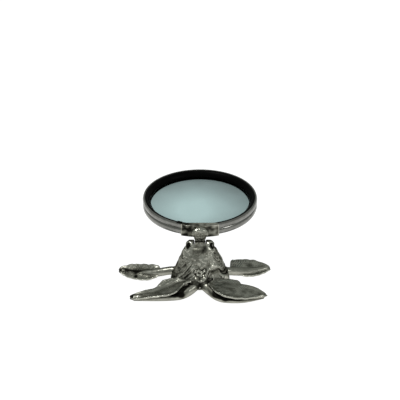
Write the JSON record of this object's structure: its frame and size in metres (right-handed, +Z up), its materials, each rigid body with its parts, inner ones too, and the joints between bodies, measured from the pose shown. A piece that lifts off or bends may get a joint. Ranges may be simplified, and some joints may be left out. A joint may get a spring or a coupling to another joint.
{
  "type": "desk magnifier",
  "caption": "Desk magnifier: a round lens in a beaded nickel rim with a black bezel, on a friction tilt joint above a cast trunk stand with leaf-shaped feet.",
  "frame": {"origin": "on the table, under the middle of the object's bounding box", "axes": "+Z up, -Y to the front where the front leaves and the neck's domed boss face, +X to the right seen from the front; the tilt joint turns about X"},
  "size_m": [0.1338, 0.1442, 0.0729],
  "materials": {
    "cast_nickel": "satin",
    "rim_nickel": "polished",
    "screw_nickel": "polished",
    "black_bezel": "gloss",
    "lens_glass": "polished",
    "gasket": "matte",
    "washer_steel": "satin"
  },
  "bodies": {
    "stand": {"trunk_casting": "cast_nickel", "leaf_foot_front_left": "cast_nickel", "leaf_foot_front_right": "cast_nickel", "leaf_foot_rear_left": "cast_nickel", "leaf_foot_rear_right": "cast_nickel", "leaf_screws": "screw_nickel", "leaf_washers": "washer_steel", "hinge_screw": "screw_nickel", "hinge_nut": "screw_nickel", "hinge_spring_washer": "washer_steel", "friction_washer_left": "washer_steel", "friction_washer_right": "washer_steel"},
    "lens_head": {"rim_hoop": "rim_nickel", "upper_bezel": "black_bezel", "lens": "lens_glass", "lens_gasket": "gasket", "lower_bezel": "black_bezel", "rim_saddle": "cast_nickel", "saddle_rivets": "rim_nickel", "neck_knuckle": "cast_nickel", "neck_screw": "screw_nickel"}
  },
  "joints": [
    {"name": "lens_tilt", "type": "hinge", "parent": "stand", "child": "lens_head", "pos_m": [0.00438, -0.03278, 0.0375], "axis": [1, 0, 0], "range_deg": [-20, 38]}
  ]
}
